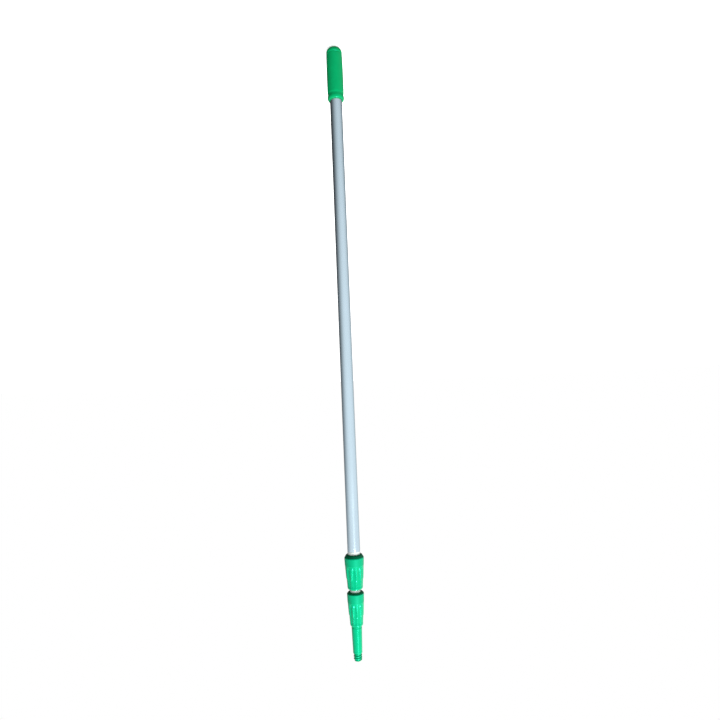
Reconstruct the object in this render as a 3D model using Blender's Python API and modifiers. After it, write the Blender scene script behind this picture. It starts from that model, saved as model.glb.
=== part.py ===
"""A three-section telescopic extension pole with two twist locks, fully closed.

Metres, +Z up. The pole stands on the flat of its grip end at the origin, and its threaded tool
tip points up. Every piece that turns or slides does so on the Z axis.
"""

import math
from typing import NamedTuple

import bpy

GAP = 0.0003  # clearance between neighbouring pieces
WALL = 0.0012  # wall of the three aluminium tubes
TUBE_SEGMENTS = 40
BUSH_SEGMENTS = 24
GREEN_SEGMENTS = 36
SHARP_ANGLE = math.radians(30)

# Outside radii of the three tubes, and the heights of their mouths.
OUTER_R = 0.0145
MIDDLE_R = 0.0115
INNER_R = 0.00875
OUTER_FOOT = 0.0063
OUTER_MOUTH = 1.1938
MIDDLE_MOUTH = 1.2800
INNER_MOUTH = 1.3950

# The grip's end cap: a dome with a small flat, a rim bevelled towards the grip, and a plug.
CAP_FLAT_R = 0.0040
CAP_R = 0.0189
CAP_CORNER_Z = 0.0130
CAP_RIM_Z = 0.0150
CAP_TOP = 0.0166
CAP_TOP_R = 0.0175
CAP_PLUG_TOP = 0.0200
CAP_PLUG_WALL = 0.0024
CAP_FLOOR = 0.0035

# Grip. Its foot and its lip are outlines of (radius, height) outside the swelling barrel.
GRIP_FOOT = 0.0170
GRIP_TOP = 0.1306
GRIP_FOOT_OUTLINE = [(0.0183, GRIP_FOOT), (0.0189, 0.0181)]
GRIP_LIP_OUTLINE = [
    (0.0193, 0.1138),
    (0.0187, 0.1154),
    (0.0187, 0.1186),
    (0.0192, 0.1216),
    (0.0197, 0.1236),
    (0.0198, 0.1256),
    (0.0195, 0.1276),
    (0.0187, 0.1295),
    (0.0174, GRIP_TOP),
]
BARREL_FOOT = 0.0225
BARREL_FOOT_R = 0.0190
BELLY_Z = 0.0800
BELLY_R = 0.0197
BARREL_TOP = 0.1110
BARREL_TOP_R = 0.0195
BARREL_RINGS = 5

# Guide stack at the foot of each sliding tube. The guide bush runs closest to the outer tube.
END_FLANGE = 0.0020
END_SPIGOT = 0.0120
END_WALL = 0.0014
GUIDE_LENGTH = 0.0240
STOP_LENGTH = 0.0060
RIM_SLACK = 0.0001

# Twist locks. The heights of the clamp cone are from the collar's tip.
SPIGOT_LENGTH = 0.0280
SLEEVE_WALL = 0.0005
FINGER_STEP = 0.0010
FINGER_CHAMFER = 0.0006
THREAD_PITCH = 0.0030
THREAD_DEPTH = 0.0010
THREAD_CLEARANCE = 0.0004
SLOTS = 3
SLOT_WIDTH = 0.0016
SLOT_LENGTH = 0.0600
SLIT_WIDTH = 0.0022
CLAMP_CONE = 0.0120
CLAMP_CONE_INSET = 0.0045
CLAMP_PLAY = 0.00035
THROAT_WALL = 0.0019
MOUTH_CLEARANCE = 0.0009
RING_CLEARANCE = 0.0011
FLUTES = 10
FLUTE_DEPTH = 0.0017
FLUTE_RINGS = 8

# Pins that lie flush across the tube walls.
PIN_R = 0.0015
PIN_SET_IN = 0.0002

# Tool cone with a 3/4 inch, 5 turns per inch tip.
CONE_FOOT = 1.3606
CONE_FOOT_R = 0.0120
CONE_GROOVE_R = 0.0114
CONE_TOP = 1.4205
CONE_TOP_R = 0.0104
CONE_PIN_Z = 1.3820
TIP_TOP = 1.4385
TIP_CORE_R = 0.0079
TIP_FLAT_R = 0.0060
TIP_PITCH = 0.00508
TIP_RIDGE = 0.0016
TIP_TURNS = 2.5
TIP_THREAD_FOOT = 1.4233
TIP_BORE_R = 0.0045
TIP_BORE_TOP = 1.4300
DRILL_REACH = 0.0050


class Lock(NamedTuple):
    """One twist lock. Heights are from the mouth of the tube that carries it."""

    name: str
    number: int
    tube_r: float
    slider_r: float
    flange_top: float
    ring_foot: float
    ring_waist_z: float
    ring_waist_r: float
    ring_r: float
    ring_edge: float
    ring_top: float
    rim_z: float
    rim_r: float
    band_z: float
    band_r: float
    waist_z: float
    waist_r: float
    nose_z: float
    nose_r: float
    tip_z: float
    tip_r: float
    thread_z: float
    thread_turns: float
    ridge_angle: float


LOCK_1 = Lock(
    name="lock_1",
    number=1,
    tube_r=OUTER_R,
    slider_r=MIDDLE_R,
    flange_top=0.0057,
    ring_foot=0.0060,
    ring_waist_z=0.0086,
    ring_waist_r=0.0190,
    ring_r=0.0212,
    ring_edge=0.0124,
    ring_top=0.0134,
    rim_z=0.0147,
    rim_r=0.0224,
    band_z=0.0316,
    band_r=0.0216,
    waist_z=0.0580,
    waist_r=0.0199,
    nose_z=0.0765,
    nose_r=0.0186,
    tip_z=0.0845,
    tip_r=0.0150,
    thread_z=0.0135,
    thread_turns=4.0,
    ridge_angle=math.radians(-102.5),
)
LOCK_2 = Lock(
    name="lock_2",
    number=2,
    tube_r=MIDDLE_R,
    slider_r=INNER_R,
    flange_top=0.0042,
    ring_foot=0.0045,
    ring_waist_z=0.0052,
    ring_waist_r=0.0165,
    ring_r=0.0184,
    ring_edge=0.0072,
    ring_top=0.0086,
    rim_z=0.0089,
    rim_r=0.0194,
    band_z=0.0281,
    band_r=0.0187,
    waist_z=0.0500,
    waist_r=0.0173,
    nose_z=0.0715,
    nose_r=0.0158,
    tip_z=0.0800,
    tip_r=0.0126,
    thread_z=0.0105,
    thread_turns=3.0,
    ridge_angle=math.radians(-100.0),
)


def clear_scene():
    for obj in list(bpy.data.objects):
        bpy.data.objects.remove(obj, do_unlink=True)


def new_collection(name, helper=False):
    collection = bpy.data.collections.new(name)
    collection.hide_render = helper
    bpy.context.scene.collection.children.link(collection)
    return collection


def new_material(name, colour, roughness, metallic=0.0):
    material = bpy.data.materials.new(name)
    material.use_nodes = True
    shader = material.node_tree.nodes["Principled BSDF"]
    shader.inputs["Base Color"].default_value = (*colour, 1.0)
    shader.inputs["Roughness"].default_value = roughness
    shader.inputs["Metallic"].default_value = metallic
    material.diffuse_color = (*colour, 1.0)
    return material


clear_scene()
POLE = new_collection("extension_pole")
CUTTERS = new_collection("cutters", helper=True)

ALUMINIUM = new_material("anodised_aluminium", (0.62, 0.66, 0.69), 0.32, 1.0)
GRIP_GREEN = new_material("grip_green", (0.002, 0.38, 0.10), 0.50)
LOCK_GREEN = new_material("lock_green", (0.003, 0.62, 0.26), 0.35)
DARK_GREEN = new_material("dark_green", (0.001, 0.08, 0.025), 0.45)
NYLON = new_material("natural_nylon", (0.80, 0.82, 0.77), 0.45)
STEEL = new_material("pin_steel", (0.55, 0.55, 0.53), 0.35, 1.0)


def new_frame(name, height, parent=None):
    """An empty on the pole's axis, that the pieces of one moving body are placed in."""
    frame = bpy.data.objects.new(name, None)
    frame.empty_display_size = 0.03
    frame.parent = parent
    frame.location.z = height
    POLE.objects.link(frame)
    return frame


def bake(obj):
    """Makes the modified shape the object's own mesh, smooth with its hard edges sharp."""
    bpy.context.view_layer.update()
    graph = bpy.context.evaluated_depsgraph_get()
    mesh = bpy.data.meshes.new_from_object(obj.evaluated_get(graph))
    obj.modifiers.clear()
    obj.data = mesh
    mesh.shade_smooth()
    mesh.set_sharp_from_angle(angle=SHARP_ANGLE)


def turned(name, outline, material, frame, segments):
    """A turned piece. Its outline of (radius, height) goes up the outside and down the inside."""
    points = [(radius, 0.0, height) for radius, height in reversed(outline)]
    edges = [(i, i + 1) for i in range(len(points) - 1)]
    if outline[0][0] > 0:
        edges.append((len(points) - 1, 0))
    mesh = bpy.data.meshes.new(name)
    mesh.from_pydata(points, edges, [])
    mesh.materials.append(material)
    obj = bpy.data.objects.new(name, mesh)
    obj.parent = frame
    POLE.objects.link(obj)
    screw = obj.modifiers.new("turn", "SCREW")
    screw.axis = "Z"
    screw.steps = segments
    screw.render_steps = segments
    screw.use_merge_vertices = True
    screw.merge_threshold = 0.00001
    bake(obj)
    return obj


def ring(name, foot, top, inside, outside, material, frame, segments):
    """A plain ring, bush or tube."""
    outline = [(outside, foot), (outside, top), (inside, top), (inside, foot)]
    return turned(name, outline, material, frame, segments)


def arc(centre, size, start, end, count):
    """Points on an elliptical arc about centre, at angles in degrees from +radius to +height."""
    points = []
    for i in range(count + 1):
        angle = math.radians(start + (end - start) * i / count)
        radius = centre[0] + size[0] * math.cos(angle)
        points.append((radius, centre[1] + size[1] * math.sin(angle)))
    return points


def move_to_cutters(obj):
    for collection in list(obj.users_collection):
        collection.objects.unlink(obj)
    CUTTERS.objects.link(obj)
    obj.hide_render = True
    obj.display_type = "WIRE"


def combine(obj, tool, operation):
    """Cuts tool out of obj, or joins it on, and keeps the result as obj's mesh."""
    move_to_cutters(tool)
    boolean = obj.modifiers.new(operation.lower(), "BOOLEAN")
    boolean.operation = operation
    boolean.solver = "EXACT"
    boolean.object = tool
    bake(obj)


def rod_x(name, radius, start, end, height, frame, segments=12):
    """A round rod along X between two places, at a height in its frame."""
    bpy.ops.mesh.primitive_cylinder_add(vertices=segments, radius=radius, depth=end - start)
    rod = bpy.context.object
    rod.name = name
    rod.parent = frame
    rod.rotation_euler = (0.0, math.radians(90), 0.0)
    rod.location = ((start + end) / 2, 0.0, height)
    return rod


def drill_x(obj, start, end, height, frame):
    """A clearance hole for a pin along X."""
    drill = rod_x(obj.name + "_drill", PIN_R + GAP, start, end, height, frame)
    combine(obj, drill, "DIFFERENCE")


def pin_x(name, start, end, height, frame):
    """A steel pin along X, with its ends flush in its hole."""
    pin = rod_x(name, PIN_R, start, end, height, frame, segments=16)
    for collection in list(pin.users_collection):
        collection.objects.unlink(pin)
    POLE.objects.link(pin)
    pin.data.materials.append(STEEL)
    bake(pin)
    return pin


def helix_ridge(name, radius, size, pitch, turns, foot, frame, steps=12, sides=0):
    """A thread ridge as a mesh: a thin rod wound round the axis, thinning out at both ends."""
    curve = bpy.data.curves.new(name, "CURVE")
    curve.dimensions = "3D"
    curve.twist_mode = "Z_UP"
    curve.bevel_depth = size
    curve.bevel_resolution = sides
    curve.use_fill_caps = True
    spline = curve.splines.new("POLY")
    count = round(turns * steps)
    spline.points.add(count)
    for i, point in enumerate(spline.points):
        angle = math.tau * i / steps
        height = foot + pitch * i / steps
        point.co = (radius * math.cos(angle), radius * math.sin(angle), height, 1.0)
        point.radius = min(1.0, 0.3 + 0.25 * min(i, count - i))
    rod = bpy.data.objects.new(name + "_rod", curve)
    rod.parent = frame
    CUTTERS.objects.link(rod)
    bpy.context.view_layer.update()
    graph = bpy.context.evaluated_depsgraph_get()
    mesh = bpy.data.meshes.new_from_object(rod.evaluated_get(graph))
    ridge = bpy.data.objects.new(name, mesh)
    ridge.parent = frame
    CUTTERS.objects.link(ridge)
    bpy.data.objects.remove(rod)
    weld = ridge.modifiers.new("weld_caps", "WELD")
    weld.merge_threshold = 0.000001
    bake(ridge)
    return ridge


def make_cap(frame):
    """The grip's end cap: a domed skirt over the tube's foot and a plug inside it."""
    skirt = OUTER_R + GAP
    plug = OUTER_R - WALL - GAP
    floor = OUTER_FOOT - GAP
    outline = [(0.0, 0.0)]
    outline += arc((CAP_FLAT_R, CAP_CORNER_Z), (CAP_R - CAP_FLAT_R, CAP_CORNER_Z), -90, 0, 7)
    outline += [(CAP_R, CAP_RIM_Z), (CAP_TOP_R, CAP_TOP), (skirt, CAP_TOP), (skirt, floor)]
    outline.append((plug, floor))
    outline += [(plug, CAP_PLUG_TOP), (plug - CAP_PLUG_WALL, CAP_PLUG_TOP)]
    outline += [(plug - CAP_PLUG_WALL, CAP_FLOOR), (0.0, CAP_FLOOR)]
    return turned("grip_end_cap", outline, GRIP_GREEN, frame, GREEN_SEGMENTS)


def barrel_radius(height):
    """The grip's barrel swells gently to its belly, nearer its top than its foot."""
    if height < BELLY_Z:
        share = (BELLY_Z - height) / (BELLY_Z - BARREL_FOOT)
        return BELLY_R - (BELLY_R - BARREL_FOOT_R) * share**2
    share = (height - BELLY_Z) / (BARREL_TOP - BELLY_Z)
    return BELLY_R - (BELLY_R - BARREL_TOP_R) * share**2


def make_grip(frame):
    """The hand grip: a chamfered foot, the barrel, a groove and a rounded lip."""
    bore = OUTER_R + GAP
    outline = [(bore, GRIP_FOOT)] + GRIP_FOOT_OUTLINE
    for i in range(BARREL_RINGS + 1):
        height = BARREL_FOOT + (BARREL_TOP - BARREL_FOOT) * i / BARREL_RINGS
        outline.append((barrel_radius(height), height))
    outline += GRIP_LIP_OUTLINE + [(bore, GRIP_TOP)]
    return turned("hand_grip", outline, GRIP_GREEN, frame, GREEN_SEGMENTS)


def make_sliding_foot(name, carrier_r, slider_r, foot, frame, guide_frame):
    """The end ring, guide bush and stop ring at the foot of a sliding tube."""
    bore = carrier_r - WALL - GAP
    rim = bore - RIM_SLACK
    inner = slider_r - WALL - GAP
    tube_foot = foot + END_FLANGE + GAP
    spigot_top = tube_foot + END_SPIGOT
    outline = [(rim, foot), (rim, foot + END_FLANGE), (inner, foot + END_FLANGE)]
    outline += [(inner, spigot_top), (inner - END_WALL, spigot_top), (inner - END_WALL, foot)]
    turned(name + "_end_ring", outline, NYLON, frame, BUSH_SEGMENTS)
    fit = slider_r + GAP
    guide_top = tube_foot + GUIDE_LENGTH
    ring(name + "_guide_bush", tube_foot, guide_top, fit, bore, NYLON, guide_frame, BUSH_SEGMENTS)
    stop = guide_top + GAP
    top = stop + STOP_LENGTH
    ring(name + "_stop_ring", stop, top, fit, rim, ALUMINIUM, frame, BUSH_SEGMENTS)
    return tube_foot


def core_r(lock):
    """The root of the thread on the sleeve."""
    return lock.tube_r + SLEEVE_WALL


def bore_r(lock):
    """The collar's bore, clear of the sleeve's thread."""
    return core_r(lock) + THREAD_DEPTH + THREAD_CLEARANCE


def cone_span(lock):
    """Heights between which the collar's bore narrows over the clamp ring."""
    top = lock.tip_z - CLAMP_CONE_INSET
    return top - CLAMP_CONE, top


def throat_r(lock):
    """The collar's bore at the narrow end of its cone."""
    return lock.slider_r + THROAT_WALL


def cut_slot(piece, name, frame, size, place, turn):
    """Cuts a box out of a piece. The size and place are before the turn round the axis."""
    bpy.ops.mesh.primitive_cube_add(size=1.0)
    slot = bpy.context.object
    slot.name = name
    slot.parent = frame
    slot.scale = size
    slot.location = place
    slot.rotation_euler.z = turn
    combine(piece, slot, "DIFFERENCE")


def make_sleeve(lock, frame):
    """The threaded sleeve in the tube's mouth, with slotted fingers round the sliding tube."""
    finger_r = core_r(lock) - FINGER_STEP
    finger_top = cone_span(lock)[0] - GAP
    thread_top = lock.thread_z + THREAD_PITCH * (lock.thread_turns + 0.7)
    spigot_r = lock.tube_r - WALL - GAP
    fit = lock.slider_r + GAP
    outline = [(spigot_r, -SPIGOT_LENGTH), (spigot_r, GAP), (lock.tube_r, GAP)]
    outline += [(lock.tube_r, lock.flange_top), (core_r(lock), lock.flange_top + SLEEVE_WALL)]
    outline += [(core_r(lock), thread_top), (finger_r, thread_top + 4 * FINGER_STEP)]
    outline += [(finger_r, finger_top - 3 * FINGER_CHAMFER), (finger_r - FINGER_CHAMFER, finger_top)]
    outline += [(fit, finger_top), (fit, -SPIGOT_LENGTH)]
    sleeve = turned(lock.name + "_clamp_sleeve", outline, NYLON, frame, BUSH_SEGMENTS)
    thread = helix_ridge(
        lock.name + "_thread",
        core_r(lock),
        THREAD_DEPTH,
        THREAD_PITCH,
        lock.thread_turns,
        lock.thread_z,
        frame,
    )
    combine(sleeve, thread, "UNION")
    size = (4 * finger_r, SLOT_WIDTH, SLOT_LENGTH)
    place = (0.0, 0.0, thread_top + 6 * FINGER_STEP + SLOT_LENGTH / 2)
    for i in range(SLOTS):
        turn = math.radians(15) + math.pi * i / SLOTS
        cut_slot(sleeve, f"{lock.name}_slot_{i}", frame, size, place, turn)
    return sleeve


def make_clamp_ring(lock, frame):
    """The split ring that the collar's cone squeezes on to the sliding tube."""
    cone_foot, cone_top = cone_span(lock)
    slope = (bore_r(lock) - throat_r(lock)) / CLAMP_CONE
    foot = cone_foot + 2 * GAP
    top = cone_top - 3 * GAP
    foot_r = bore_r(lock) - slope * (foot - cone_foot) - CLAMP_PLAY
    top_r = bore_r(lock) - slope * (top - cone_foot) - CLAMP_PLAY
    fit = lock.slider_r + GAP
    outline = [(foot_r, foot), (top_r, top), (fit, top), (fit, foot)]
    clamp = turned(lock.name + "_clamp_ring", outline, NYLON, frame, BUSH_SEGMENTS)
    size = (2 * foot_r, SLIT_WIDTH, 2 * CLAMP_CONE)
    cut_slot(clamp, lock.name + "_slit", frame, size, (foot_r, 0.0, (foot + top) / 2), 0.0)
    return clamp


def collar_radius(lock, height):
    """The collar's outside between its band and its nose, as two straight tapers."""
    if height < lock.waist_z:
        share = (height - lock.band_z) / (lock.waist_z - lock.band_z)
        return lock.band_r + (lock.waist_r - lock.band_r) * share
    share = (height - lock.waist_z) / (lock.nose_z - lock.waist_z)
    return lock.waist_r + (lock.nose_r - lock.waist_r) * share


def flute_depth(lock, angle, height):
    """How deep the finger flutes are cut at a place on the collar.

    Each flute starts as an arch under the band, widens down to the waist and fades at the tip.
    """
    share = (height - lock.band_z) / (lock.tip_z - lock.band_z)
    if not 0.0 < share < 1.0:
        return 0.0
    pitch = math.tau / FLUTES
    offset = (angle - lock.ridge_angle) % pitch
    across = abs(offset - pitch / 2) / (pitch / 2)
    arch = math.sqrt(1.0 - (1.0 - min(share / 0.12, 1.0)) ** 2)
    width = 0.55 * arch + 0.45 * min(share / 0.57, 1.0)
    if across >= width:
        return 0.0
    fade = min(1.0, share / 0.25, (1.0 - share) / 0.25)
    return FLUTE_DEPTH * fade * (1.0 - (across / width) ** 2)


def cut_flutes(collar, lock):
    """Draws the points of the collar's outside in where the flutes are. Its bore stays round."""
    bore = bore_r(lock) + MOUTH_CLEARANCE
    for vertex in collar.data.vertices:
        radius = math.hypot(vertex.co.x, vertex.co.y)
        in_bore = radius < bore and vertex.co.z < lock.nose_z
        if in_bore or radius < lock.tip_r:
            continue
        angle = math.atan2(vertex.co.y, vertex.co.x)
        vertex.co.xy *= 1.0 - flute_depth(lock, angle, vertex.co.z) / radius


def make_collar(lock, frame):
    """The green twist collar: a plain band, a fluted taper and a rounded nose."""
    cone_foot, cone_top = cone_span(lock)
    seat_r = lock.ring_r + GAP
    seat_top = lock.ring_top + GAP
    mouth_r = lock.slider_r + MOUTH_CLEARANCE
    outline = [(seat_r, lock.ring_edge + GAP), (lock.rim_r, lock.rim_z), (lock.band_r, lock.band_z)]
    for i in range(1, FLUTE_RINGS + 1):
        height = lock.band_z + (lock.nose_z - lock.band_z) * i / FLUTE_RINGS
        outline.append((collar_radius(lock, height), height))
    size = (lock.nose_r - lock.tip_r, lock.tip_z - lock.nose_z)
    outline += arc((lock.tip_r, lock.nose_z), size, 0, 90, 4)[1:]
    outline += [(mouth_r, lock.tip_z), (mouth_r, cone_top + MOUTH_CLEARANCE)]
    outline += [(throat_r(lock), cone_top), (bore_r(lock), cone_foot)]
    outline += [(bore_r(lock), seat_top), (seat_r, seat_top)]
    name = f"twist_collar_{lock.number}"
    collar = turned(name, outline, LOCK_GREEN, frame, FLUTES * 4)
    cut_flutes(collar, lock)
    return collar


def make_retaining_ring(lock, frame):
    """The dark ring pressed into the collar's back, that keeps it on the thread."""
    inside = lock.tube_r + RING_CLEARANCE
    outline = [(inside, lock.ring_foot), (lock.ring_waist_r, lock.ring_waist_z)]
    outline += [(lock.ring_r, lock.ring_edge), (lock.ring_r, lock.ring_top)]
    outline.append((inside, lock.ring_top))
    name = lock.name + "_retaining_ring"
    return turned(name, outline, DARK_GREEN, frame, BUSH_SEGMENTS)


def make_lock(lock, section, mouth, tube):
    """All of one lock. Its collar and the ring in its back are in a frame that turns."""
    lock_frame = new_frame(lock.name + "_frame", mouth, section)
    turn_frame = new_frame(lock.name + "_turn_frame", 0.0, lock_frame)
    sleeve = make_sleeve(lock, lock_frame)
    pin_z = -SPIGOT_LENGTH / 2
    inside = lock.slider_r + GAP + RIM_SLACK
    outside = lock.tube_r - PIN_SET_IN
    pin_x(lock.name + "_sleeve_pin_left", -outside, -inside, pin_z, lock_frame)
    pin_x(lock.name + "_sleeve_pin_right", inside, outside, pin_z, lock_frame)
    reach = lock.tube_r + DRILL_REACH
    drill_x(sleeve, -reach, reach, pin_z, lock_frame)
    drill_x(tube, -reach, reach, pin_z, lock_frame)
    make_clamp_ring(lock, lock_frame)
    make_collar(lock, turn_frame)
    make_retaining_ring(lock, turn_frame)


def cone_radius(height):
    """The tool cone's outside, from its foot to its shoulder."""
    share = (height - CONE_FOOT) / (CONE_TOP - CONE_FOOT)
    return CONE_FOOT_R + (CONE_TOP_R - CONE_FOOT_R) * share


def cone_outline():
    """The tool cone: a foot ring and groove, the taper, a shoulder, the tip and a stepped bore."""
    socket = INNER_R + GAP
    seat = INNER_MOUTH + GAP
    outline = [(socket, CONE_FOOT), (CONE_FOOT_R, CONE_FOOT), (CONE_FOOT_R, CONE_FOOT + 0.0018)]
    outline += [(CONE_GROOVE_R, CONE_FOOT + 0.0023), (CONE_GROOVE_R, CONE_FOOT + 0.0034)]
    for height in (CONE_FOOT + 0.0040, CONE_PIN_Z + 0.0100, CONE_TOP - 0.0040):
        outline.append((cone_radius(height), height))
    outline += [(CONE_TOP_R + 0.0002, CONE_TOP - 0.0025), (CONE_TOP_R, CONE_TOP)]
    outline += [(TIP_CORE_R, CONE_TOP), (TIP_CORE_R, TIP_TOP - 0.0020)]
    outline += [(TIP_CORE_R - 0.0007, TIP_TOP - 0.0005), (TIP_FLAT_R, TIP_TOP), (0.0, TIP_TOP)]
    outline += [(0.0, TIP_BORE_TOP), (TIP_BORE_R, TIP_BORE_TOP), (TIP_BORE_R, seat), (socket, seat)]
    return outline


def make_inner_head(frame, tube):
    """The tool cone and the cross pin that fixes it to the inner tube."""
    cone = turned("tool_cone", cone_outline(), LOCK_GREEN, frame, GREEN_SEGMENTS)
    thread = helix_ridge(
        "tip_thread",
        TIP_CORE_R,
        TIP_RIDGE,
        TIP_PITCH,
        TIP_TURNS,
        TIP_THREAD_FOOT,
        frame,
        steps=16,
        sides=1,
    )
    combine(cone, thread, "UNION")
    out = cone_radius(CONE_PIN_Z) - 2 * PIN_SET_IN
    pin_x("cone_cross_pin", -out, out, CONE_PIN_Z, frame)
    reach = CONE_FOOT_R + DRILL_REACH
    drill_x(cone, -reach, reach, CONE_PIN_Z, frame)
    drill_x(tube, -reach, reach, CONE_PIN_Z, frame)


def make_outer_section():
    section = new_frame("outer_section", 0.0)
    inside = OUTER_R - WALL
    tube = ring(
        "outer_tube", OUTER_FOOT, OUTER_MOUTH, inside, OUTER_R, ALUMINIUM, section, TUBE_SEGMENTS
    )
    make_cap(section)
    make_grip(section)
    make_lock(LOCK_1, section, OUTER_MOUTH, tube)
    return section


def make_middle_section(outer_section):
    guide = new_frame("middle_guide_frame", 0.0, outer_section)
    section = new_frame("middle_section", 0.0, guide)
    foot = CAP_PLUG_TOP + GAP
    tube_foot = make_sliding_foot("middle", OUTER_R, MIDDLE_R, foot, section, guide)
    inside = MIDDLE_R - WALL
    tube = ring(
        "middle_tube", tube_foot, MIDDLE_MOUTH, inside, MIDDLE_R, ALUMINIUM, section, TUBE_SEGMENTS
    )
    make_lock(LOCK_2, section, MIDDLE_MOUTH, tube)
    return section, tube_foot + END_SPIGOT


def make_inner_section(middle_section, rest_z):
    guide = new_frame("inner_guide_frame", 0.0, middle_section)
    section = new_frame("inner_section", 0.0, guide)
    tube_foot = make_sliding_foot("inner", MIDDLE_R, INNER_R, rest_z + GAP, section, guide)
    inside = INNER_R - WALL
    tube = ring(
        "inner_tube", tube_foot, INNER_MOUTH, inside, INNER_R, ALUMINIUM, section, TUBE_SEGMENTS
    )
    make_inner_head(section, tube)


def main():
    outer_section = make_outer_section()
    middle_section, rest_z = make_middle_section(outer_section)
    make_inner_section(middle_section, rest_z)
    bpy.context.view_layer.update()


main()
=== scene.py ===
"""The looks of a closed three-section telescopic pole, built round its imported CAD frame."""
import math

import bmesh
import bpy
from mathutils import Matrix, Vector


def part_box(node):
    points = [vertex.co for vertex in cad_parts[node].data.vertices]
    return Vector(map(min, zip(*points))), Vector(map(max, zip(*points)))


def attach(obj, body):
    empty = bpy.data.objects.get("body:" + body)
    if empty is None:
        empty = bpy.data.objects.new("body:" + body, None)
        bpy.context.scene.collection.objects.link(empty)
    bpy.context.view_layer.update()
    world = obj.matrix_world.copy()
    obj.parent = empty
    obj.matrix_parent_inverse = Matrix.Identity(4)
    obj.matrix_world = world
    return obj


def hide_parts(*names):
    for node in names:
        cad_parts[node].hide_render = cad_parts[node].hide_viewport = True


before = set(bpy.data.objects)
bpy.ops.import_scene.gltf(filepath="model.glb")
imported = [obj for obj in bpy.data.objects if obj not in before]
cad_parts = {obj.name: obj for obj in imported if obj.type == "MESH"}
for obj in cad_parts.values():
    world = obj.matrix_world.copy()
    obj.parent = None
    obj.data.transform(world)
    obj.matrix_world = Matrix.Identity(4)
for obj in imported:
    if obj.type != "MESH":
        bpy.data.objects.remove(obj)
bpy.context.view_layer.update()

ROUND = 128  # segments round a plain turned piece
SMALL = 96  # segments round a hidden ring or bush
FINE = 240  # segments round a fluted or threaded piece
AXIS = Vector((0.0, 0.0, 1.0))


def node_span(node):
    """The outside radius, the foot and the top of a turned CAD node."""
    low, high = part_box(node)
    return high[0], low[2], high[2]


# Heights and radii in metres. The pole stands on its grip end, +Z up.
OUTER_R, OUTER_FOOT, OUTER_MOUTH = node_span("outer_tube")
MIDDLE_R, MIDDLE_FOOT, MIDDLE_MOUTH = node_span("middle_tube")
INNER_R, INNER_FOOT, INNER_MOUTH = node_span("inner_tube")
CONE_FOOT, POLE_TOP = node_span("tool_cone")[1:]
GRIP_FOOT, GRIP_TOP = node_span("hand_grip")[1:]
PLUG_TOP = node_span("grip_end_cap")[2]
CONE_PIN_Z = sum(node_span("cone_cross_pin")[1:]) / 2
WALL = 0.0012
GAP = 0.0003
PIN_R = 0.0015
WALL_PIN_DROP = 0.0140  # from a tube's mouth down to its wall pins


# ---------------------------------------------------------------- mesh making


def rounded(corners, steps=4):
    """The outline with each (radius, height, fillet) corner that has a fillet turned into an arc."""
    closed = corners[0][0] > 0.0
    count = len(corners)
    points = []
    for i, (radius, height, fillet) in enumerate(corners):
        here = Vector((radius, height))
        end_point = not closed and i in (0, count - 1)
        if fillet == 0.0 or end_point:
            points.append(here)
            continue
        before = Vector(corners[i - 1][:2]) - here
        after = Vector(corners[(i + 1) % count][:2]) - here
        half = before.angle(after) / 2
        cut = min(fillet / math.tan(half), 0.48 * before.length, 0.48 * after.length)
        start = here + before.normalized() * cut
        end = here + after.normalized() * cut
        for step in range(steps + 1):
            t = step / steps
            points.append(start * (1 - t) ** 2 + here * 2 * t * (1 - t) + end * t**2)
    return points


def divided(points, longest, closed):
    """The outline with no stretch longer than longest."""
    made = []
    count = len(points) if closed else len(points) - 1
    for i in range(count):
        start, end = points[i], points[(i + 1) % len(points)]
        cuts = max(1, math.ceil((end - start).length / longest))
        made += [start.lerp(end, k / cuts) for k in range(cuts)]
    if not closed:
        made.append(points[-1])
    return made


def turned(name, corners, segments=ROUND, longest=None, shape=None):
    """A turned piece from an outline that goes up the outside and down the inside.

    shape(angle, radius, height) gives each point's new radius.
    """
    closed = corners[0][0] > 0.0
    points = rounded(corners)
    if longest:
        points = divided(points, longest, closed)
    grid = bmesh.new()
    line = [grid.verts.new((point.x, 0.0, point.y)) for point in points]
    for first, second in zip(line, line[1:]):
        grid.edges.new((first, second))
    if closed:
        grid.edges.new((line[-1], line[0]))
    bmesh.ops.spin(
        grid,
        geom=grid.verts[:] + grid.edges[:],
        axis=AXIS,
        cent=(0.0, 0.0, 0.0),
        angle=math.tau,
        steps=segments,
        use_merge=True,
    )
    bmesh.ops.remove_doubles(grid, verts=grid.verts[:], dist=1e-7)
    if shape:
        for vert in grid.verts:
            radius = math.hypot(vert.co.x, vert.co.y)
            if radius > 0.0:
                angle = math.atan2(vert.co.y, vert.co.x)
                vert.co.xy *= shape(angle, radius, vert.co.z) / radius
    bmesh.ops.recalc_face_normals(grid, faces=grid.faces[:])
    return finished(name, grid)


def finished(name, grid, sharp=50):
    mesh = bpy.data.meshes.new(name)
    grid.to_mesh(mesh)
    grid.free()
    mesh.shade_smooth()
    mesh.set_sharp_from_angle(angle=math.radians(sharp))
    piece = bpy.data.objects.new(name, mesh)
    bpy.context.scene.collection.objects.link(piece)
    return piece


def cut(piece, tool):
    """Cuts the tool's shape out of a piece, and removes the tool."""
    boolean = piece.modifiers.new("cut", "BOOLEAN")
    boolean.operation = "DIFFERENCE"
    boolean.solver = "EXACT"
    boolean.object = tool
    graph = bpy.context.evaluated_depsgraph_get()
    mesh = bpy.data.meshes.new_from_object(piece.evaluated_get(graph))
    piece.modifiers.clear()
    piece.data = mesh
    mesh.shade_smooth()
    mesh.set_sharp_from_angle(angle=math.radians(30))
    bpy.data.objects.remove(tool)


def block(name, size, middle):
    """A plain block, to cut with."""
    grid = bmesh.new()
    bmesh.ops.create_cube(grid, size=1.0)
    bmesh.ops.scale(grid, verts=grid.verts[:], vec=size)
    bmesh.ops.translate(grid, verts=grid.verts[:], vec=middle)
    return finished(name, grid)


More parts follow.
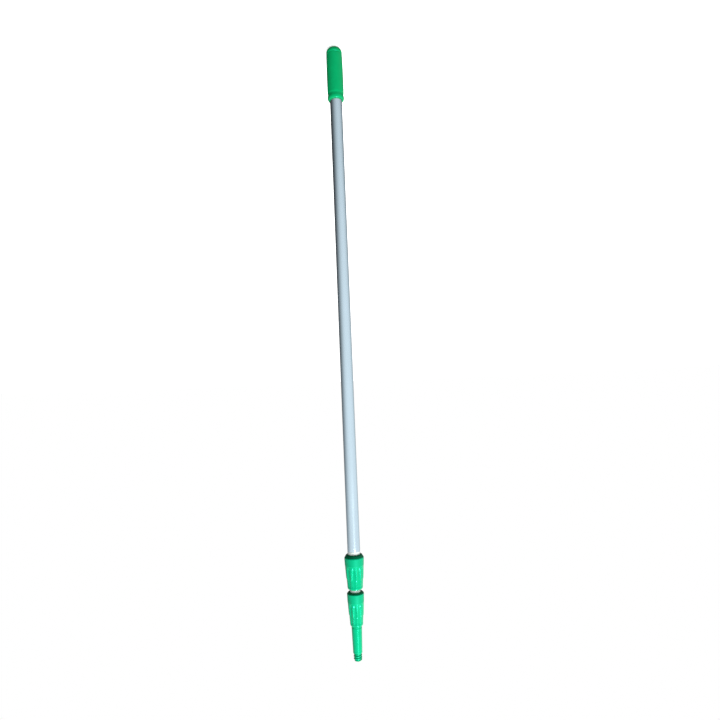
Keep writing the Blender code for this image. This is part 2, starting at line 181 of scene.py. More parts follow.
def rod_x(name, radius, start, end, height, dome=0.0):
    """A round rod along X. A dome makes its ends bulge by that much."""
    corners = [(0.0, start, 0.0), (radius, start + dome, radius * 0.25)]
    corners += [(radius, end - dome, radius * 0.25), (0.0, end, 0.0)]
    rod = turned(name, corners, segments=32)
    rod.data.transform(Matrix.Rotation(math.radians(90), 4, "Y"))
    rod.data.transform(Matrix.Translation((0.0, 0.0, height)))
    return rod


def drill_x(piece, height):
    """Clearance holes along X, for a cross pin or a pair of wall pins."""
    cut(piece, rod_x("drill", PIN_R + GAP / 2, -0.03, 0.03, height))


def helix_phase(angle, height, foot, pitch):
    """Where a place is across a right-hand thread's ridge: 0 at a ridge's middle, 0.5 between."""
    turn = (height - foot) / pitch - angle / math.tau
    return abs((turn + 0.5) % 1.0 - 0.5)


def ridge(phase, crest, flank):
    """A trapezoid thread form: 1 on the crest, 0 in the root, sloping between."""
    return min(1.0, max(0.0, (crest + flank - phase) / flank))


# ---------------------------------------------------------------- materials


class Shader:
    """A material's node tree, with short ways to add the nodes used here."""

    def __init__(self, name):
        self.material = bpy.data.materials.new(name)
        self.material.use_nodes = True
        self.nodes = self.material.node_tree.nodes
        self.links = self.material.node_tree.links
        self.main = self.nodes["Principled BSDF"]
        self.place = self.nodes.new("ShaderNodeTexCoord").outputs["Object"]

    def link(self, output, node, socket):
        self.links.new(output, node.inputs[socket])

    def noise(self, scale, detail=3.0, stretch=(1.0, 1.0, 1.0), roughness=0.5):
        mapping = self.nodes.new("ShaderNodeMapping")
        mapping.inputs["Scale"].default_value = stretch
        self.link(self.place, mapping, "Vector")
        noise = self.nodes.new("ShaderNodeTexNoise")
        noise.inputs["Scale"].default_value = scale
        noise.inputs["Detail"].default_value = detail
        noise.inputs["Roughness"].default_value = roughness
        self.link(mapping.outputs["Vector"], noise, "Vector")
        return noise.outputs["Fac"]

    def ranged(self, value, low, high, new_low, new_high):
        node = self.nodes.new("ShaderNodeMapRange")
        sockets = ("From Min", "From Max", "To Min", "To Max")
        for socket, number in zip(sockets, (low, high, new_low, new_high)):
            node.inputs[socket].default_value = number
        self.link(value, node, "Value")
        return node.outputs["Result"]

    def math(self, operation, first, second):
        node = self.nodes.new("ShaderNodeMath")
        node.operation = operation
        for socket, value in ((0, first), (1, second)):
            if isinstance(value, (int, float)):
                node.inputs[socket].default_value = value
            else:
                self.links.new(value, node.inputs[socket])
        return node.outputs[0]

    def mixed(self, factor, first, second):
        """A colour between two others, each a colour or an output."""
        node = self.nodes.new("ShaderNodeMix")
        node.data_type = "RGBA"
        self.links.new(factor, node.inputs["Factor"])
        for socket, colour in ((6, first), (7, second)):
            if isinstance(colour, tuple):
                node.inputs[socket].default_value = (*colour, 1.0)
            else:
                self.links.new(colour, node.inputs[socket])
        return node.outputs[2]

    def bumped(self, height, strength, distance, below=None):
        node = self.nodes.new("ShaderNodeBump")
        node.inputs["Strength"].default_value = strength
        node.inputs["Distance"].default_value = distance
        self.link(height, node, "Height")
        if below:
            self.link(below, node, "Normal")
        return node.outputs["Normal"]

    def height(self):
        node = self.nodes.new("ShaderNodeSeparateXYZ")
        self.link(self.place, node, "Vector")
        return node.outputs["Z"]

    def edges(self, low, high):
        """1 on outside edges, which wear and a painted highlight lighten, 0 on flats."""
        node = self.nodes.new("ShaderNodeNewGeometry")
        return self.ranged(node.outputs["Pointiness"], low, high, 0.0, 1.0)


def scaled(colour, factor):
    return tuple(min(1.0, part * factor) for part in colour)


def green_plastic(name, colour, wear_highlight_colour, roughness, grain, depth, bands=()):
    """Moulded plastic: cloudy colour, fine grain, faint scuffs along the pole, and outside edges
    lightened partly as wear and partly as a painted highlight.

    bands are (foot, top) heights that were left with a matt sandblasted finish.
    """
    s = Shader(name)
    cloud = s.noise(55.0, 4.0)
    tone = s.mixed(s.ranged(cloud, 0.3, 0.7, 0.0, 1.0), scaled(colour, 0.93), scaled(colour, 1.06))
    scuffs = s.ranged(s.noise(60.0, 5.0, (14.0, 14.0, 1.0), 0.65), 0.60, 0.78, 0.0, 1.0)
    patches = s.ranged(s.noise(380.0, 4.0), 0.42, 0.62, 0.1, 0.6)
    # Painted highlight mixed with wear: outside edges, in random patches, lightened towards the wear
    # colour.
    edge_wear_highlight = s.math("MULTIPLY", s.edges(0.52, 0.60), patches)
    tone = s.mixed(s.math("MULTIPLY", scuffs, 0.12), tone, wear_highlight_colour)
    tone = s.mixed(edge_wear_highlight, tone, wear_highlight_colour)
    gloss = s.ranged(s.noise(140.0, 4.0), 0.3, 0.7, roughness - 0.04, roughness + 0.05)
    gloss = s.math("ADD", gloss, s.math("MULTIPLY", scuffs, 0.12))
    for foot, top in bands:
        here = s.height()
        above, below = s.math("GREATER_THAN", here, foot), s.math("LESS_THAN", here, top)
        inside = s.math("MULTIPLY", above, below)
        tone = s.mixed(s.math("MULTIPLY", inside, 0.5), tone, scaled(colour, 0.80))
        gloss = s.math("ADD", gloss, s.math("MULTIPLY", inside, 0.22))
    s.link(tone, s.main, "Base Color")
    s.link(gloss, s.main, "Roughness")
    fine = s.bumped(s.noise(grain, 3.0), 0.25, depth)
    s.link(s.bumped(s.noise(120.0, 2.0, (6.0, 6.0, 1.0)), 0.10, 0.0002, fine), s.main, "Normal")
    s.main.inputs["Specular IOR Level"].default_value = 0.5
    s.main.inputs["Specular Tint"].default_value = (0.06, 1.0, 0.8, 1.0)
    return s.material


def satin_aluminium(name, colour, roughness):
    """Clear anodised tube: draw lines along its length, soft smudges and a few fine scratches."""
    s = Shader(name)
    lines = s.noise(900.0, 5.0, (1.0, 1.0, 0.004), 0.6)
    smudge = s.noise(16.0, 4.0, (1.0, 1.0, 0.35))
    tone = s.mixed(s.ranged(smudge, 0.3, 0.7, 0.0, 1.0), scaled(colour, 0.965), scaled(colour, 1.02))
    tone = s.mixed(s.ranged(lines, 0.3, 0.7, 0.0, 0.10), tone, scaled(colour, 0.8))
    s.link(tone, s.main, "Base Color")
    gloss = s.ranged(smudge, 0.3, 0.7, roughness - 0.03, roughness + 0.05)
    gloss = s.math("ADD", gloss, s.ranged(lines, 0.3, 0.7, -0.04, 0.04))
    s.link(gloss, s.main, "Roughness")
    scratches = s.ranged(s.noise(240.0, 2.0, (1.0, 1.0, 0.05)), 0.66, 0.70, 0.0, 1.0)
    drawn = s.bumped(lines, 0.20, 0.00004)
    s.link(s.bumped(scratches, 0.15, 0.00005, drawn), s.main, "Normal")
    s.main.inputs["Metallic"].default_value = 1.0
    return s.material


def natural_nylon(name):
    """Unpigmented nylon: milky, slightly uneven, with a fine moulded grain."""
    s = Shader(name)
    cloud = s.ranged(s.noise(90.0, 4.0), 0.3, 0.7, 0.0, 1.0)
    s.link(s.mixed(cloud, (0.62, 0.68, 0.64), (0.70, 0.76, 0.72)), s.main, "Base Color")
    s.link(s.ranged(s.noise(300.0, 3.0), 0.3, 0.7, 0.36, 0.48), s.main, "Roughness")
    s.link(s.bumped(s.noise(2600.0, 2.0), 0.2, 0.00004), s.main, "Normal")
    s.main.inputs["Subsurface Weight"].default_value = 0.35
    s.main.inputs["Subsurface Radius"].default_value = (1.0, 1.0, 0.9)
    s.main.inputs["Subsurface Scale"].default_value = 0.003
    return s.material


def pin_steel(name):
    """Plain steel pins: fine turning marks and dull patches."""
    s = Shader(name)
    patch = s.ranged(s.noise(700.0, 4.0), 0.35, 0.65, 0.0, 1.0)
    s.link(s.mixed(patch, (0.42, 0.41, 0.39), (0.60, 0.59, 0.57)), s.main, "Base Color")
    s.link(s.ranged(s.noise(1800.0, 3.0), 0.3, 0.7, 0.28, 0.46), s.main, "Roughness")
    s.link(s.bumped(s.noise(5200.0, 2.0, (1.0, 0.1, 0.1)), 0.2, 0.00003), s.main, "Normal")
    s.main.inputs["Metallic"].default_value = 1.0
    return s.material


# ---------------------------------------------------------------- the locks

FLUTES = 10
FLUTE_DEPTH = 0.0017
GROOVE_DEPTH = 0.0014
GROOVE_WIDTH = 0.24  # half of it, as a share of half the flutes' pitch
COLLAR_CLEARANCE = 0.0019  # between a collar's bore and the tube it is on
MOUTH_CLEARANCE = 0.0009
THROAT_WALL = 0.0019
RING_CLEARANCE = 0.0011
CLAMP_DROP = 0.0045  # from the collar's tip down to the clamp ring's seat
CLAMP_LENGTH = 0.0120
CLAMP_PLAY = 0.00035
CLAMP_SLIT = 0.0022
SPIGOT_LENGTH = 0.0280
THREAD_PITCH = 0.0030
THREAD_DEPTH = 0.0009
SLEEVE_WALL = 0.0005  # what the sleeve's core stands proud of its tube
FINGER_STEP = 0.0010
SLOTS = 3
SLOT_WIDTH = 0.0016
SLOT_LENGTH = 0.0600

LOCK_1 = dict(
    name="lock_1", number=1, mouth=OUTER_MOUTH, tube_r=OUTER_R, slider_r=MIDDLE_R,
    flange_top=0.0057, ring_foot=0.0060, ring_waist_z=0.0086, ring_waist_r=0.0190,
    ring_r=0.0212, ring_edge=0.0124, ring_top=0.0134,
    rim_z=0.0147, rim_r=0.0224, band_z=0.0316, band_r=0.0216, waist_z=0.0580, waist_r=0.0199,
    nose_z=0.0765, nose_r=0.0186, tip_z=0.0845, tip_r=0.0150, thread_z=0.0135, turns=4.0,
    ridge_angle=math.radians(-102.5), section="outer_section",
)
LOCK_2 = dict(
    name="lock_2", number=2, mouth=MIDDLE_MOUTH, tube_r=MIDDLE_R, slider_r=INNER_R,
    flange_top=0.0042, ring_foot=0.0045, ring_waist_z=0.0052, ring_waist_r=0.0165,
    ring_r=0.0184, ring_edge=0.0072, ring_top=0.0086,
    rim_z=0.0089, rim_r=0.0194, band_z=0.0281, band_r=0.0187, waist_z=0.0500, waist_r=0.0173,
    nose_z=0.0715, nose_r=0.0158, tip_z=0.0800, tip_r=0.0126, thread_z=0.0105, turns=3.0,
    ridge_angle=math.radians(-100.0), section="middle_section",
)


def raised(corners, mouth):
    return [(radius, height + mouth, fillet) for radius, height, fillet in corners]


def flute_shape(lock):
    """Finger flutes with arched tops. Ridges narrow to points, and fine grooves run on below."""
    top = lock["mouth"] + lock["band_z"] + 0.0008
    foot = lock["mouth"] + lock["tip_z"] - 0.0006
    bore = lock["tube_r"] + 0.0030

    def shape(angle, radius, height):
        share = (height - top) / (foot - top)
        if radius < bore or not 0.0 < share < 1.0:
            return radius
        pitch = math.tau / FLUTES
        offset = (angle - lock["ridge_angle"]) % pitch
        across = abs(offset - pitch / 2) / (pitch / 2)
        arch = math.sqrt(1.0 - (1.0 - min(share / 0.15, 1.0)) ** 2)
        width = 0.50 * arch + 0.46 * min(share / 0.57, 1.0)
        fade = min(1.0, share / 0.14, (1.0 - share) / 0.12)
        depth = 0.0
        if across < width:
            depth = FLUTE_DEPTH * fade * (1.0 - (across / width) ** 2.4)
        groove = max(0.0, 1.0 - ((1.0 - across) / GROOVE_WIDTH) ** 2)
        depth += GROOVE_DEPTH * groove * min(1.0, max(0.0, (share - 0.55) / 0.08)) * fade
        return radius - depth

    return shape


def make_collar(lock, material):
    """The twist collar, with its rounded rim, crisp band edge, flutes and nose."""
    seat = lock["ring_r"] + GAP
    bore = lock["tube_r"] + COLLAR_CLEARANCE
    throat = lock["slider_r"] + MOUTH_CLEARANCE
    cone_top = lock["tip_z"] - CLAMP_DROP
    corners = [
        (seat, lock["ring_edge"] + GAP, 0.0002),
        (lock["rim_r"], lock["rim_z"], 0.0008),
        (lock["band_r"] + 0.00005, lock["band_z"] - 0.0004, 0.0002),
        (lock["band_r"] - 0.00025, lock["band_z"] + 0.0002, 0.0002),
        (lock["waist_r"], lock["waist_z"], 0.02),
        (lock["nose_r"], lock["nose_z"], 0.0),
    ]
    for i in range(1, 8):
        angle = math.radians(90) * i / 8
        radius = lock["tip_r"] + (lock["nose_r"] - lock["tip_r"]) * math.cos(angle)
        height = lock["nose_z"] + (lock["tip_z"] - lock["nose_z"]) * math.sin(angle)
        corners.append((radius, height, 0.0))
    corners += [
        (lock["tip_r"], lock["tip_z"], 0.0),
        (throat, lock["tip_z"], 0.0006),
        (throat, cone_top + 0.0010, 0.0),
        (lock["slider_r"] + THROAT_WALL, cone_top, 0.0),
        (bore, cone_top - CLAMP_LENGTH, 0.0),
        (bore, lock["ring_top"] + GAP, 0.0),
        (seat, lock["ring_top"] + GAP, 0.0002),
    ]
    name = f"collar_{lock['number']}_moulding"
    corners = raised(corners, lock["mouth"])
    piece = turned(name, corners, FINE, 0.0009, flute_shape(lock))
    place(piece, material, f"collar_{lock['number']}", "lock_green", f"twist_collar_{lock['number']}")


def make_retaining_ring(lock, material):
    """The ring in the collar's back, domed towards the tube. Its dark colour is painted shade, for the
    shade on the collar's rear face.
    """
    inside = lock["tube_r"] + RING_CLEARANCE
    corners = [
        (inside, lock["ring_foot"], 0.0004),
        (lock["ring_waist_r"], lock["ring_waist_z"], 0.0020),
        (lock["ring_r"], lock["ring_edge"], 0.0004),
        (lock["ring_r"], lock["ring_top"], 0.0003),
        (inside, lock["ring_top"], 0.0003),
    ]
    piece = turned(f"collar_{lock['number']}_back_ring", raised(corners, lock["mouth"]), longest=0.0015)
    place(piece, material, f"collar_{lock['number']}", "dark_green", lock["name"] + "_retaining_ring")


def make_sleeve(lock, material):
    """The nylon clamp sleeve: spigot, pale lip, screw thread and slotted fingers."""
    core = lock["tube_r"] + SLEEVE_WALL
    finger = core - FINGER_STEP
    finger_top = lock["tip_z"] - CLAMP_DROP - CLAMP_LENGTH - GAP
    thread_top = lock["thread_z"] + THREAD_PITCH * (lock["turns"] + 0.7)
    fit = lock["slider_r"] + GAP
    spigot = lock["tube_r"] - WALL - GAP
    corners = [
        (spigot, -SPIGOT_LENGTH, 0.0006),
        (spigot, GAP, 0.0),
        (lock["tube_r"], GAP, 0.0003),
        (lock["tube_r"], lock["flange_top"], 0.0002),
        (core, lock["flange_top"] + SLEEVE_WALL, 0.0),
        (core, thread_top, 0.0003),
        (finger, thread_top + 0.0040, 0.0010),
        (finger, finger_top - 0.0018, 0.0006),
        (finger - 0.0006, finger_top, 0.0003),
        (fit, finger_top, 0.0003),
        (fit, -SPIGOT_LENGTH, 0.0003),
    ]
    first = lock["mouth"] + lock["thread_z"]
    last = first + THREAD_PITCH * lock["turns"]

    def threaded(angle, radius, height):
        if radius < core - 0.0002 or not first <= height <= last:
            return radius
        run_out = min(1.0, (height - first) / 0.0012, (last - height) / 0.0012)
        phase = helix_phase(angle, height, first, THREAD_PITCH)
        return radius + THREAD_DEPTH * run_out * ridge(phase, 0.10, 0.22)

    corners = raised(corners, lock["mouth"])
    piece = turned(lock["name"] + "_sleeve_moulding", corners, ROUND, 0.0006, threaded)
    slot_middle = lock["mouth"] + thread_top + 0.0060 + SLOT_LENGTH / 2
    for i in range(SLOTS):
        slot = block("slot", (4 * finger, SLOT_WIDTH, SLOT_LENGTH), (0.0, 0.0, slot_middle))
        slot.data.transform(Matrix.Rotation(math.radians(15 + 60 * i), 4, "Z"))
        cut(piece, slot)
    drill_x(piece, lock["mouth"] - WALL_PIN_DROP)
    place(piece, material, lock["section"], "natural_nylon", lock["name"] + "_clamp_sleeve")


def make_clamp_ring(lock, material):
    """The split clamp ring, with its cone outside and softened edges."""
    top = lock["tip_z"] - CLAMP_DROP
    foot = top - CLAMP_LENGTH
    slope = (lock["tube_r"] - lock["slider_r"]) / (top - foot)
    low, high = foot + 2 * GAP, top - 3 * GAP
    cone_r = lock["tube_r"] + COLLAR_CLEARANCE - CLAMP_PLAY
    low_r = cone_r - slope * (low - foot)
    high_r = cone_r - slope * (high - foot)
    fit = lock["slider_r"] + GAP
    corners = [(low_r, low, 0.0005), (high_r, high, 0.0005), (fit, high, 0.0003), (fit, low, 0.0003)]
    piece = turned(lock["name"] + "_split_cone", raised(corners, lock["mouth"]), SMALL, 0.0015)
    reach = 2 * lock["rim_r"]
    cut(piece, block("slit", (reach, CLAMP_SLIT, reach), (reach / 2, 0.0, lock["mouth"] + foot)))
    place(piece, material, lock["section"], "natural_nylon", lock["name"] + "_clamp_ring")


def make_wall_pins(lock, material):
    """The two flush pins across the tube's wall and the sleeve's spigot."""
    height = lock["mouth"] - WALL_PIN_DROP
    near = lock["slider_r"] + GAP + 0.0001
    far = lock["tube_r"] - 0.0001
    for side, start, end in (("left", -far, -near), ("right", near, far)):
        pin = rod_x(f"{lock['name']}_wall_pin_{side}", PIN_R, start, end, height, 0.0002)
        place(pin, material, lock["section"], "pin_steel", f"{lock['name']}_sleeve_pin_{side}")


# ---------------------------------------------------------------- the other pieces


def place(piece, material, body, slot, *nodes):
    piece.data.materials.clear()
    piece.data.materials.append(material)
    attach(piece, body)
    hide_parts(*nodes)


def make_tube(node, radius, foot, top, body, material, pin_z):
    """A drawn tube with broken edges, ringed round its pin holes so that they shade well."""
    inside = radius - WALL
    low, high = pin_z - 0.004, pin_z + 0.004
    corners = [(radius, foot, 0.0003), (radius, low, 0.0), (radius, high, 0.0), (radius, top, 0.0003)]
    corners += [(inside, top, 0.0003), (inside, high, 0.0), (inside, low, 0.0), (inside, foot, 0.0003)]
    piece = turned(node + "_drawn", corners, ROUND, 0.12)
    drill_x(piece, pin_z)
    place(piece, material, body, "tube_aluminium", node)


CAP_FLAT_R = 0.0040
CAP_R = 0.0189
CAP_CORNER_Z = 0.0130
CAP_RIM_Z = 0.0150
CAP_TOP = 0.0166
CAP_TOP_R = 0.0175
CAP_FLOOR_Z = 0.0035
PLUG_WALL = 0.0024
BARREL_FOOT = 0.0225
BARREL_TOP = 0.1110
BARREL_FOOT_R = 0.0190
BARREL_TOP_R = 0.0195
BARREL_RINGS = 24
BELLY_Z = 0.0800
BELLY_R = 0.0197

# The grip's foot and lip, as (radius, height, fillet) corners.
GRIP_FOOT_CORNERS = [(0.0183, GRIP_FOOT, 0.0003), (0.0189, 0.0181, 0.0006)]
GRIP_LIP_CORNERS = [
    (0.0193, 0.1138, 0.0010),
    (0.0187, 0.1154, 0.0010),
    (0.0187, 0.1186, 0.0016),
    (0.0197, 0.1236, 0.0020),
    (0.0198, 0.1256, 0.0010),
    (0.0195, 0.1276, 0.0010),
    (0.0187, 0.1295, 0.0010),
    (0.0174, GRIP_TOP, 0.0006),
]


def make_cap(material):
    """The grip's end cap: a dome with a small flat, a bevelled rim and the plug that holds it."""
    skirt = OUTER_R + GAP
    plug = OUTER_R - WALL - GAP
    inside = plug - PLUG_WALL
    floor = OUTER_FOOT - GAP
    corners = [(0.0, 0.0, 0.0)]
    for degrees in range(-90, 1, 6):
        angle = math.radians(degrees)
        radius = CAP_FLAT_R + (CAP_R - CAP_FLAT_R) * math.cos(angle)
        corners.append((radius, CAP_CORNER_Z * (1.0 + math.sin(angle)), 0.0))
    corners += [(CAP_R, CAP_RIM_Z, 0.0004), (CAP_TOP_R, CAP_TOP, 0.0003), (skirt, CAP_TOP, 0.0002)]
    corners += [(skirt, floor, 0.0), (plug, floor, 0.0), (plug, PLUG_TOP, 0.0005)]
    corners += [(inside, PLUG_TOP, 0.0005), (inside, CAP_FLOOR_Z, 0.001), (0.0, CAP_FLOOR_Z, 0.0)]
    piece = turned("grip_cap_moulding", corners, ROUND, 0.0015)
    place(piece, material, "outer_section", "grip_green", "grip_end_cap")


def barrel_radius(height):
    """The grip's barrel, swelling to its belly nearer its top than its foot."""
    if height < BELLY_Z:
        return BELLY_R - (BELLY_R - BARREL_FOOT_R) * ((BELLY_Z - height) / (BELLY_Z - BARREL_FOOT)) ** 2
    return BELLY_R - (BELLY_R - BARREL_TOP_R) * ((height - BELLY_Z) / (BARREL_TOP - BELLY_Z)) ** 2


def make_grip(material):
    """The hand grip: a chamfered foot, the barrel, a groove and a rounded lip."""
    bore = OUTER_R + GAP
    corners = [(bore, GRIP_FOOT, 0.0003)] + GRIP_FOOT_CORNERS
    for i in range(BARREL_RINGS + 1):
        height = BARREL_FOOT + (BARREL_TOP - BARREL_FOOT) * i / BARREL_RINGS
        corners.append((barrel_radius(height), height, 0.0))
    corners += GRIP_LIP_CORNERS + [(bore, GRIP_TOP, 0.0004)]
    piece = turned("grip_moulding", corners, ROUND, 0.003)
    place(piece, material, "outer_section", "grip_green", "hand_grip")


# The tool cone and its 3/4 inch, five turns per inch tip.
CONE_TOP = 1.4205
CONE_FOOT_R = 0.0120
CONE_TOP_R = 0.0104
CONE_GROOVE_R = 0.0114
CONE_RIM = 0.0002  # what the rim at the cone's top stands proud
TIP_CORE_R = 0.0079
TIP_HOLLOW = (0.0045, 1.4300)  # its radius and the height of its end
TIP_PITCH = 0.00508
TIP_RIDGE = 0.0016
TIP_THREAD = (CONE_TOP + 0.0014, 1.4381)


def tip_thread(angle, radius, height):
    """The tip's trapezoid pole thread, five turns to the inch."""
    first, last = TIP_THREAD
    if not first <= height <= last or radius < TIP_CORE_R - 0.0011:
        return radius
    run_out = min(1.0, (height - first) / 0.0010, (last - height) / 0.0030)
    phase = helix_phase(angle, height, first + 0.0010, TIP_PITCH)
    return radius + TIP_RIDGE * run_out * ridge(phase, 0.14, 0.10)


def make_tool_cone(material):
    """The tapered tool holder: a foot ring and groove, the taper, a rim and the screw tip."""
    socket = INNER_R + GAP
    seat = INNER_MOUTH + GAP
    hollow_r, hollow_top = TIP_HOLLOW
    corners = [(socket, CONE_FOOT, 0.0004), (CONE_FOOT_R, CONE_FOOT, 0.0004)]
    corners += [(CONE_FOOT_R, CONE_FOOT + 0.0018, 0.0003), (CONE_GROOVE_R, CONE_FOOT + 0.0023, 0.0003)]
    corners += [(CONE_GROOVE_R, CONE_FOOT + 0.0034, 0.0003), (0.01189, CONE_FOOT + 0.0040, 0.0003)]
    corners += [(CONE_TOP_R + CONE_RIM / 2, CONE_TOP - 0.0040, 0.001)]
    corners += [(CONE_TOP_R + CONE_RIM, CONE_TOP - 0.0025, 0.0008), (CONE_TOP_R, CONE_TOP, 0.0005)]
    corners += [(TIP_CORE_R, CONE_TOP, 0.0004), (TIP_CORE_R, POLE_TOP - 0.0020, 0.001)]
    corners += [(TIP_CORE_R - 0.0007, POLE_TOP - 0.0005, 0.0005), (0.0060, POLE_TOP, 0.0004)]
    corners += [(0.0, POLE_TOP, 0.0), (0.0, hollow_top, 0.0), (hollow_r, hollow_top, 0.0005)]
    corners += [(hollow_r, seat, 0.0003), (socket, seat, 0.0003)]
    piece = turned_core("cone_moulding", corners)
    drill_x(piece, CONE_PIN_Z)
    place(piece, material, "inner_section", "lock_green", "tool_cone")


def turned_core(name, corners):
    """The cone's outline touches the axis twice, so its outside and its bore are one closed line."""
    split = next(i for i, corner in enumerate(corners) if corner[0] == 0.0)
    outline = corners[split + 1:] + corners[:split + 1]
    return turned(name, outline, FINE, 0.0005, tip_thread)


def make_cone_pin(material):
    reach = node_span("cone_cross_pin")[0]
    pin = rod_x("cone_pin", PIN_R, -reach, reach, CONE_PIN_Z, 0.0003)
    place(pin, material, "inner_section", "pin_steel", "cone_cross_pin")


def make_bush(node, slider_r, body, slot, material, fillet=0.0005):
    """A ring or bush round the axis, with softened edges, from its CAD node's size."""
    outside, foot, top = node_span(node)
    inside = slider_r + GAP
    corners = [(outside, foot, fillet), (outside, top, fillet)]
    corners += [(inside, top, fillet), (inside, foot, fillet)]
    piece = turned(node + "_moulding", corners, SMALL, 0.004)
    place(piece, material, body, slot, node)


END_FLANGE = 0.0020
END_WALL = 0.0014


def make_end_ring(node, slider_r, body, material):
    """The flanged ring in a sliding tube's foot."""
    outside, foot, top = node_span(node)
    spigot = slider_r - WALL - GAP
    flange_top = foot + END_FLANGE
    inside = spigot - END_WALL
    corners = [(outside, foot, 0.0005), (outside, flange_top, 0.0003)]
    corners += [(spigot, flange_top, 0.0002), (spigot, top, 0.0005)]
    corners += [(inside, top, 0.0003), (inside, foot, 0.0005)]
    piece = turned(node + "_moulding", corners, SMALL, 0.002)
    place(piece, material, body, "natural_nylon", node)


# ---------------------------------------------------------------- build

ALUMINIUM = satin_aluminium("satin_aluminium", (0.62, 0.765, 0.86), 0.22)
GRIP = green_plastic(
    "grip_plastic", (0.0004, 0.30, 0.090), (0.004, 0.46, 0.19), 0.36, 2400.0, 0.00008
)
LOCK_BANDS = [
    (lock["mouth"] + lock["rim_z"], lock["mouth"] + lock["band_z"]) for lock in (LOCK_1, LOCK_2)
]
LOCK = green_plastic(
    "lock_plastic", (0.0004, 0.355, 0.155), (0.006, 0.50, 0.27), 0.23, 3200.0, 0.00005, LOCK_BANDS
)
# Painted shade: the retaining rings' dark green stands in for the shade on the collars' rear faces.
PAINTED_SHADE_RING = green_plastic(
    "painted_shade_ring_plastic", (0.001, 0.10, 0.035), (0.01, 0.20, 0.09), 0.45, 2600.0, 0.00006
)
NYLON = natural_nylon("natural_nylon")
STEEL = pin_steel("pin_steel")

for node, radius, foot, mouth, body, pin_z in (
    ("outer_tube", OUTER_R, OUTER_FOOT, OUTER_MOUTH, "outer_section", OUTER_MOUTH - WALL_PIN_DROP),
    ("middle_tube", MIDDLE_R, MIDDLE_FOOT, MIDDLE_MOUTH, "middle_section", MIDDLE_MOUTH - WALL_PIN_DROP),
    ("inner_tube", INNER_R, INNER_FOOT, INNER_MOUTH, "inner_section", CONE_PIN_Z),
):
    make_tube(node, radius, foot, mouth, body, ALUMINIUM, pin_z)
make_cap(GRIP)
make_grip(GRIP)
for lock in (LOCK_1, LOCK_2):
    make_sleeve(lock, NYLON)
    make_wall_pins(lock, STEEL)
    make_clamp_ring(lock, NYLON)
    make_collar(lock, LOCK)
    make_retaining_ring(lock, PAINTED_SHADE_RING)
for section, slider_r in (("middle", MIDDLE_R), ("inner", INNER_R)):
    make_bush(section + "_guide_bush", slider_r, section + "_guide", "natural_nylon", NYLON)
    make_bush(section + "_stop_ring", slider_r, section + "_section", "tube_aluminium", ALUMINIUM)
    make_end_ring(section + "_end_ring", slider_r, section + "_section", NYLON)
make_tool_cone(LOCK)
make_cone_pin(STEEL)


# ---------------------------------------------------------------- stage, light and camera

SKY_SLOPE = (-0.33, -0.48, 0.81)  # the sky brightens along this direction
SKY_FROM = -0.85
SKY_TO = 0.55
SKY_LOW = 0.05
SKY_HIGH = 1.0


def make_floor():
    """A plain pale floor that lights nothing, so that the studio's light alone falls on the pole."""
    grid = bmesh.new()
    bmesh.ops.create_circle(grid, cap_ends=True, segments=96, radius=40.0)
    floor = finished("floor", grid)
    floor.location.z = -0.0006
    s = Shader("floor_paint")
    tone = s.ranged(s.noise(0.6, 2.0), 0.3, 0.7, 0.0, 1.0)
    s.link(s.mixed(tone, (0.90, 0.90, 0.90), (0.92, 0.92, 0.92)), s.main, "Base Color")
    s.main.inputs["Roughness"].default_value = 0.9
    s.main.inputs["Emission Color"].default_value = (1.0, 1.0, 1.0, 1.0)
    s.main.inputs["Emission Strength"].default_value = 0.45
    floor.data.materials.append(s.material)
    floor.visible_diffuse = False
    floor.visible_glossy = False
    floor.visible_shadow = False


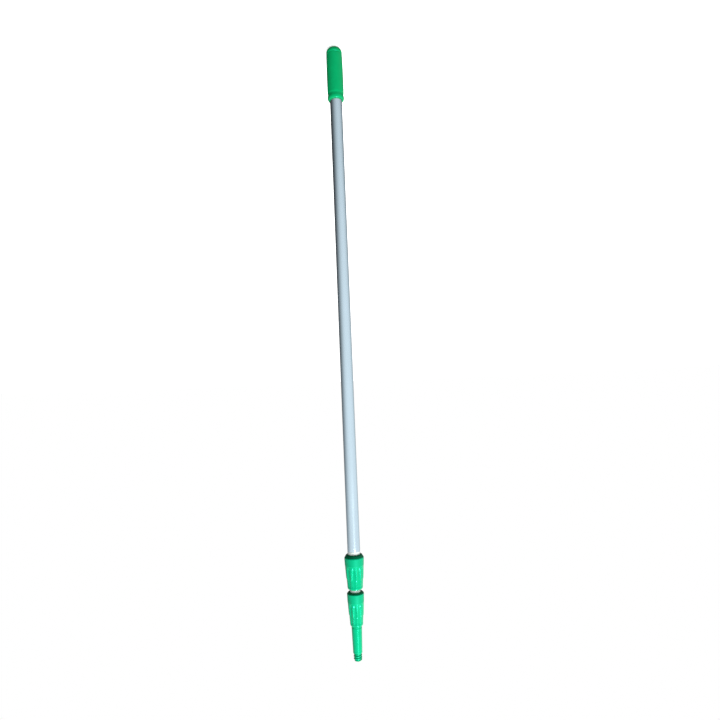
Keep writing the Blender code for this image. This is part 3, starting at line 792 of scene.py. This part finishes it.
def make_world():
    """A white room to look at, and a soft sky that lights the pole from above and the front left."""
    world = bpy.data.worlds.new("studio")
    bpy.context.scene.world = world
    world.use_nodes = True
    nodes, links = world.node_tree.nodes, world.node_tree.links
    nodes.clear()
    output = nodes.new("ShaderNodeOutputWorld")
    mix = nodes.new("ShaderNodeMixShader")
    seen = nodes.new("ShaderNodeBackground")
    lit = nodes.new("ShaderNodeBackground")
    path = nodes.new("ShaderNodeLightPath")
    place = nodes.new("ShaderNodeTexCoord")
    weigh = nodes.new("ShaderNodeVectorMath")
    weigh.operation = "DOT_PRODUCT"
    weigh.inputs[1].default_value = SKY_SLOPE
    ramp = nodes.new("ShaderNodeMapRange")
    ramp.interpolation_type = "SMOOTHSTEP"
    ramp.inputs["From Min"].default_value = SKY_FROM
    ramp.inputs["From Max"].default_value = SKY_TO
    ramp.inputs["To Min"].default_value = SKY_LOW
    ramp.inputs["To Max"].default_value = SKY_HIGH
    links.new(place.outputs["Generated"], weigh.inputs[0])
    links.new(weigh.outputs["Value"], ramp.inputs["Value"])
    links.new(ramp.outputs["Result"], lit.inputs["Strength"])
    lit.inputs["Color"].default_value = (0.97, 0.99, 1.0, 1.0)
    seen.inputs["Color"].default_value = (1.0, 1.0, 1.0, 1.0)
    links.new(path.outputs["Is Camera Ray"], mix.inputs["Fac"])
    links.new(lit.outputs["Background"], mix.inputs[1])
    links.new(seen.outputs["Background"], mix.inputs[2])
    links.new(mix.outputs["Shader"], output.inputs["Surface"])


def add_softbox(name, position, target, size, power):
    light = bpy.data.lights.new(name, "AREA")
    light.shape = "RECTANGLE"
    light.size, light.size_y = size
    light.energy = power
    lamp = bpy.data.objects.new(name, light)
    lamp.location = position
    aim = Vector(target) - Vector(position)
    lamp.rotation_mode = "QUATERNION"
    lamp.rotation_quaternion = aim.to_track_quat("-Z", "Y")
    bpy.context.scene.collection.objects.link(lamp)


def add_camera():
    """Looks square on to the pole's middle with the grip end up, as the pole hangs in the hand."""
    lens, distance = 28.0, 1.31
    lean, roll = math.radians(3.3), math.radians(2.35)
    aim = Vector((0.0, 0.0, 0.755))
    sideways = 0.0246
    forward = Vector((0.0, math.cos(lean), -math.sin(lean)))
    along = (AXIS - forward * forward.dot(AXIS)).normalized()
    across = along.cross(forward)
    right = along * math.sin(roll) + across * math.cos(roll)
    up = across * math.sin(roll) - along * math.cos(roll)
    data = bpy.data.cameras.new("camera")
    data.lens = lens
    data.sensor_width = 36.0
    data.clip_start = 0.05
    camera = bpy.data.objects.new("camera", data)
    bpy.context.scene.collection.objects.link(camera)
    turn = Matrix((right, up, -forward)).transposed()
    camera.rotation_mode = "QUATERNION"
    camera.rotation_quaternion = turn.to_quaternion()
    camera.location = aim - forward * distance + right * distance * sideways
    bpy.context.scene.camera = camera


make_floor()
make_world()
add_softbox("top", (-1.0, -2.0, 3.9), target=(0.0, 0.0, 0.7), size=(1.6, 1.0), power=200.0)
add_softbox("key", (-0.95, -2.5, 2.65), target=(0.0, 0.0, 1.25), size=(0.9, 0.45), power=18.0)
add_camera()
bpy.context.scene.view_settings.view_transform = "Standard"

bpy.context.view_layer.update()
